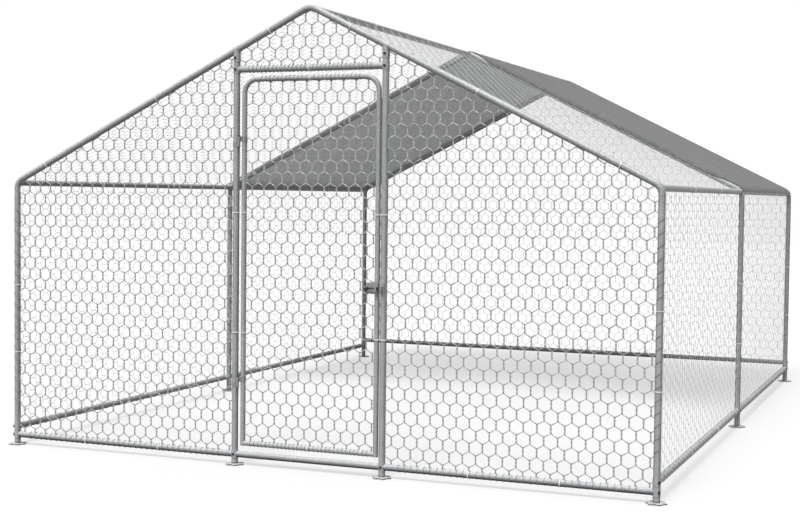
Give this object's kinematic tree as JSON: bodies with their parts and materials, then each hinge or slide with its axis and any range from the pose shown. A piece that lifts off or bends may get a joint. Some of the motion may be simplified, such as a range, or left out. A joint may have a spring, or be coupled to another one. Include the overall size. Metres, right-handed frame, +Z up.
{
  "type": "chicken run",
  "caption": "Walk-in chicken run: bent-tube gable frames with wire netting on every side, a hinged door with a sliding latch in the front and a cloth cover over the rear of the roof.",
  "frame": {"origin": "on the ground, at the centre of the plan of the frame", "axes": "+Z up, front with the door at -Y, +Y along the ridge to the covered end, +X to the right of someone who stands at the front and looks at the door"},
  "size_m": [3.056, 4.0702, 1.9635],
  "materials": {
    "galvanised_tube": "galvanised, satin",
    "fitting_steel": "galvanised, dull",
    "netting_wire": "galvanised, bright",
    "cover_cloth": "coated weave, matt",
    "cable_tie": "matt"
  },
  "bodies": {
    "frame": {"front_left_post": "galvanised_tube", "front_right_post": "galvanised_tube", "front_left_elbow": "galvanised_tube", "front_right_elbow": "galvanised_tube", "front_left_rafter": "galvanised_tube", "front_right_rafter": "galvanised_tube", "front_apex": "galvanised_tube", "mid_left_post": "galvanised_tube", "mid_right_post": "galvanised_tube", "mid_left_elbow": "galvanised_tube", "mid_right_elbow": "galvanised_tube", "mid_left_rafter": "galvanised_tube", "mid_right_rafter": "galvanised_tube", "mid_apex": "galvanised_tube", "rear_left_post": "galvanised_tube", "rear_right_post": "galvanised_tube", "rear_left_elbow": "galvanised_tube", "rear_right_elbow": "galvanised_tube", "rear_left_rafter": "galvanised_tube", "rear_right_rafter": "galvanised_tube", "rear_apex": "galvanised_tube", "left_eave_rails": "galvanised_tube", "right_eave_rails": "galvanised_tube", "ridge_rails": "galvanised_tube", "left_base_rails": "galvanised_tube", "right_base_rails": "galvanised_tube", "front_left_base_rail": "galvanised_tube", "front_right_base_rail": "galvanised_tube", "door_sill_rail": "galvanised_tube", "rear_base_rail": "galvanised_tube", "hinge_post": "galvanised_tube", "latch_post": "galvanised_tube", "header_bar": "galvanised_tube", "base_tees": "fitting_steel", "post_tees": "fitting_steel", "tee_bolts": "fitting_steel", "foot_plates": "galvanised_tube", "hinge_post_straps": "fitting_steel", "hinge_pins": "fitting_steel", "latch_keeper": "fitting_steel", "front_left_net": "netting_wire", "front_right_net": "netting_wire", "gable_net": "netting_wire", "left_net": "netting_wire", "right_net": "netting_wire", "rear_net": "netting_wire", "roof_net": "netting_wire", "roof_cover": "cover_cloth", "frame_ties": "cable_tie"},
    "door": {"door_hinge_stile": "galvanised_tube", "door_latch_stile": "galvanised_tube", "door_top_bow": "galvanised_tube", "door_bottom_rail": "galvanised_tube", "door_net": "netting_wire", "door_ties": "cable_tie", "hinge_door_straps": "fitting_steel", "latch_plate": "fitting_steel"},
    "latch": {"latch_bolt": "fitting_steel"}
  },
  "joints": [
    {"name": "door_swing", "type": "hinge", "parent": "frame", "child": "door", "pos_m": [-0.32425, -2.004, 0.9], "axis": [0, 0, -1], "range_deg": [0, 165]},
    {"name": "latch_slide", "type": "slide", "parent": "door", "child": "latch", "axis": [1, 0, 0], "range_m": [0, 0.022]}
  ]
}
